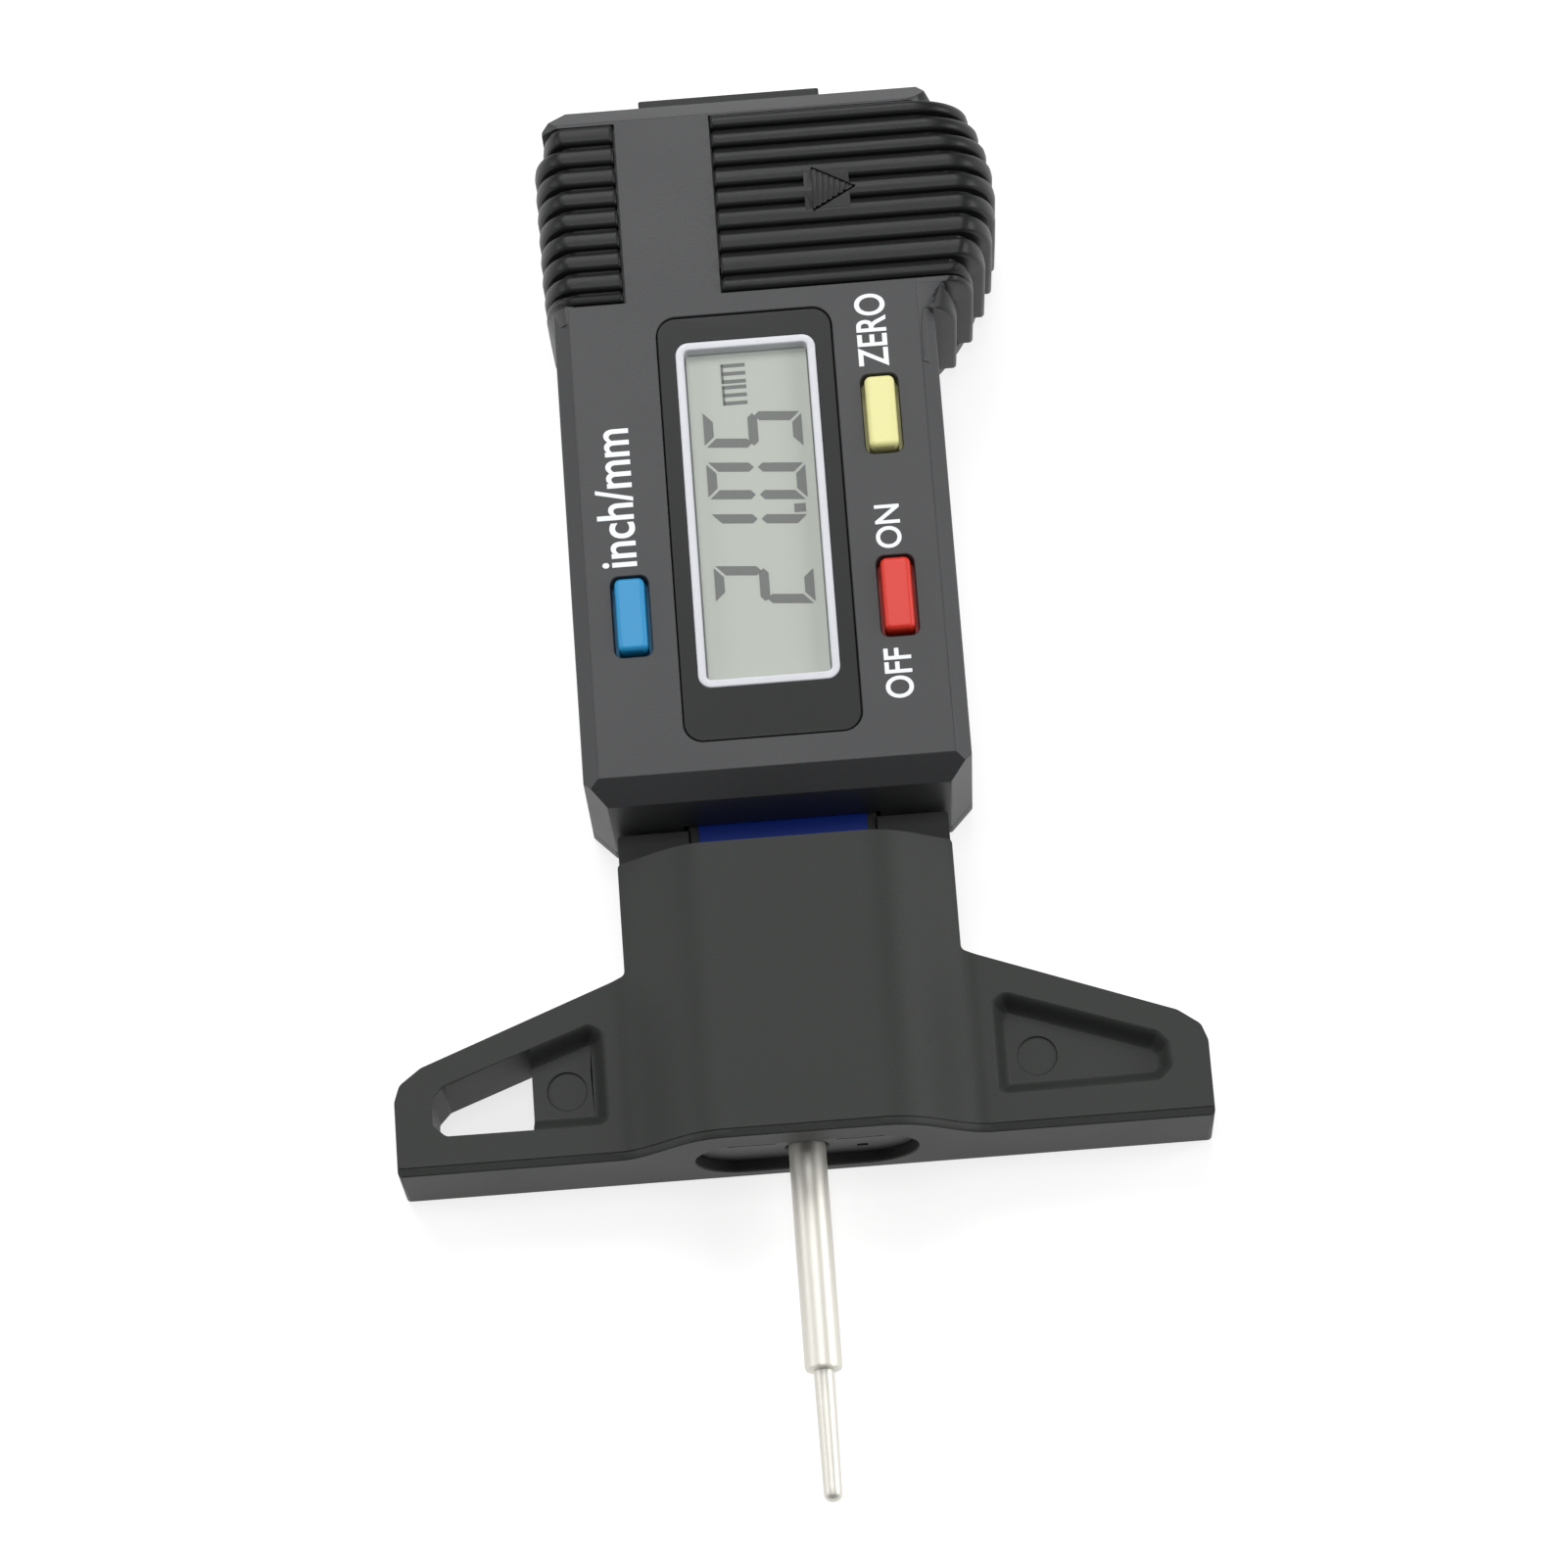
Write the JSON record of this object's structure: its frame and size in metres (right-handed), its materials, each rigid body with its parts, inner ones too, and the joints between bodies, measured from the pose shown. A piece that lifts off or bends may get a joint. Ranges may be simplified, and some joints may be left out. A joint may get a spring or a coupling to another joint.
{
  "type": "digital tread depth gauge",
  "caption": "Digital tread depth gauge: a wide measuring foot on a grooved beam, and a sliding display head that carries a thin probe rod out through the foot",
  "frame": {"origin": "under the middle of the whole gauge, on the plane of its back, which is what it lies on", "axes": "+Z out of the display face, +Y along the beam from the probe tip to the free end of the beam, +X to the right of the display seen from the front"},
  "size_m": [0.052, 0.096, 0.013],
  "materials": {
    "foot_plastic": "fine matte moulded charcoal ABS",
    "shell_plastic": "fine matte moulded dark grey ABS",
    "black_plastic": "matte black",
    "bezel_plastic": "polished dark grey, the back-printed border of the window",
    "frame_plastic": "silvery white line round the window",
    "lens": "clear polished acrylic",
    "lcd": "grey-green reflective liquid-crystal panel",
    "zebra_rubber": "soft striped connector rubber",
    "board": "green solder mask",
    "blue_film": "blue capacitive scale foil",
    "screw_steel": "zinc plated steel",
    "probe_steel": "ground stainless rod",
    "cell_steel": "nickel plated can",
    "contact_brass": "brass",
    "blue_key": "light blue satin plastic",
    "yellow_key": "pale yellow satin plastic",
    "red_key": "red satin plastic"
  },
  "bodies": {
    "beam_foot": {"foot": "foot_plastic", "probe_guide": "black_plastic", "beam": "foot_plastic", "scale_strip": "blue_film", "beam_screw_left": "screw_steel", "beam_screw_right": "screw_steel"},
    "slider": {"front_housing": "shell_plastic", "back_cover": "shell_plastic", "display_bezel": "bezel_plastic", "window_frame": "frame_plastic", "window_lens": "lens", "lcd_panel": "lcd", "zebra_left": "zebra_rubber", "zebra_right": "zebra_rubber", "main_board": "board", "controller_chip": "black_plastic", "mode_switch": "black_plastic", "zero_switch": "black_plastic", "power_switch": "black_plastic", "battery": "cell_steel", "contact_positive": "contact_brass", "contact_negative": "contact_brass", "gib_spring": "contact_brass", "probe_rod": "probe_steel", "probe_anchor": "contact_brass", "anchor_screw": "screw_steel", "case_screw_1": "screw_steel", "case_screw_2": "screw_steel", "case_screw_3": "screw_steel", "case_screw_4": "screw_steel"},
    "mode_key": {"mode_button": "blue_key"},
    "zero_key": {"zero_button": "yellow_key"},
    "power_key": {"power_button": "red_key"},
    "door": {"battery_door": "shell_plastic"}
  },
  "joints": [
    {"name": "slider_travel", "type": "slide", "parent": "beam_foot", "child": "slider", "axis": [0, 1, 0], "range_m": [-0.0002, 0.0223]},
    {"name": "mode_press", "type": "slide", "parent": "slider", "child": "mode_key", "axis": [0, 0, -1], "range_m": [0, 0.0004], "stiffness_N_per_m": 800, "springref_m": -0.0005},
    {"name": "zero_press", "type": "slide", "parent": "slider", "child": "zero_key", "axis": [0, 0, -1], "range_m": [0, 0.0004], "stiffness_N_per_m": 800, "springref_m": -0.0005},
    {"name": "power_press", "type": "slide", "parent": "slider", "child": "power_key", "axis": [0, 0, -1], "range_m": [0, 0.0004], "stiffness_N_per_m": 800, "springref_m": -0.0005},
    {"name": "door_slide", "type": "slide", "parent": "slider", "child": "door", "axis": [1, 0, 0], "range_m": [0, 0.0135]}
  ]
}
